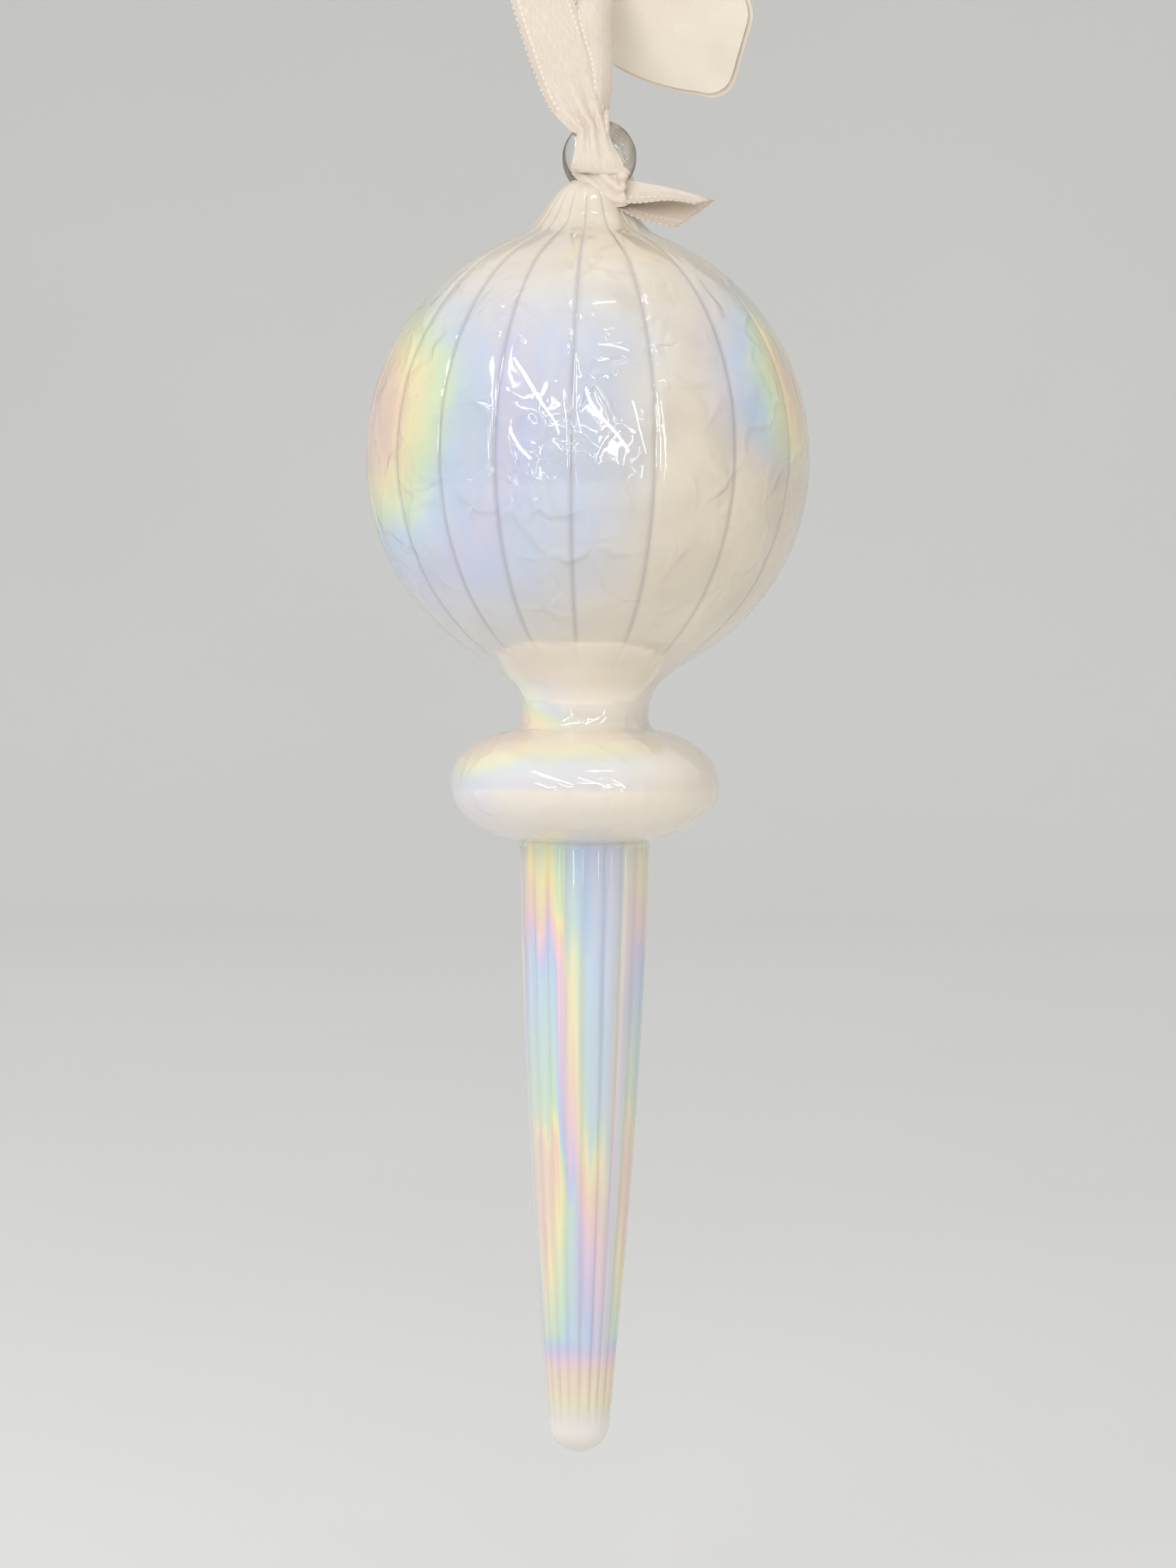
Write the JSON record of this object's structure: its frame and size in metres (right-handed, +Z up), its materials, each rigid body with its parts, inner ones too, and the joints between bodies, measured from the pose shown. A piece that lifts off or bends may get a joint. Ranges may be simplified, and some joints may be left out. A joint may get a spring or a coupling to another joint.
{
  "type": "icicle hanging ornament",
  "caption": "Blown pearl-glass finial ornament: ribbed ball, fat collar and fluted icicle, hung by a clear glass ring from a knotted satin ribbon loop with a small blank card tag.",
  "frame": {"origin": "the hang point: the inside top of the ribbon loop, where a hook carries the ornament", "axes": "+Z up along the hanging ornament, +X to the right seen from the front, -Y to the front; a hook through the loop runs along Y"},
  "size_m": [0.0772, 0.0762, 0.3047],
  "materials": {
    "pearl_glass": "milky white glass with a glossy iridescent lustre",
    "clear_glass": "clear, fire polished",
    "satin_ribbon": "off-white double-faced satin with picot edges",
    "tag_card": "smooth uncoated white card"
  },
  "bodies": {
    "ribbon": {"ribbon_loop": "satin_ribbon"},
    "gathered_neck": {"ribbon_neck": "satin_ribbon"},
    "ornament": {"glass_ball": "pearl_glass", "glass_collar": "pearl_glass", "glass_icicle": "pearl_glass", "glass_ring": "clear_glass", "ribbon_ring_wrap": "satin_ribbon", "ribbon_knot_band": "satin_ribbon", "ribbon_tail_right": "satin_ribbon", "ribbon_tail_back": "satin_ribbon"},
    "tag": {"hang_tag": "tag_card"}
  },
  "joints": [
    {"name": "ribbon_twist", "type": "hinge", "parent": "ribbon", "child": "gathered_neck", "pos_m": [0.0005, 0, -0.0668], "axis": [0, 0, 1], "range_deg": [-90, 90]},
    {"name": "ornament_swing", "type": "hinge", "parent": "gathered_neck", "child": "ornament", "pos_m": [0.0016, 0, -0.074], "axis": [1, 0, 0], "range_deg": [-30, 30]},
    {"name": "tag_swing", "type": "hinge", "parent": "ribbon", "child": "tag", "pos_m": [0.002, 0.007, -0.0432], "axis": [0, 1, 0], "range_deg": [-30, 40]}
  ]
}
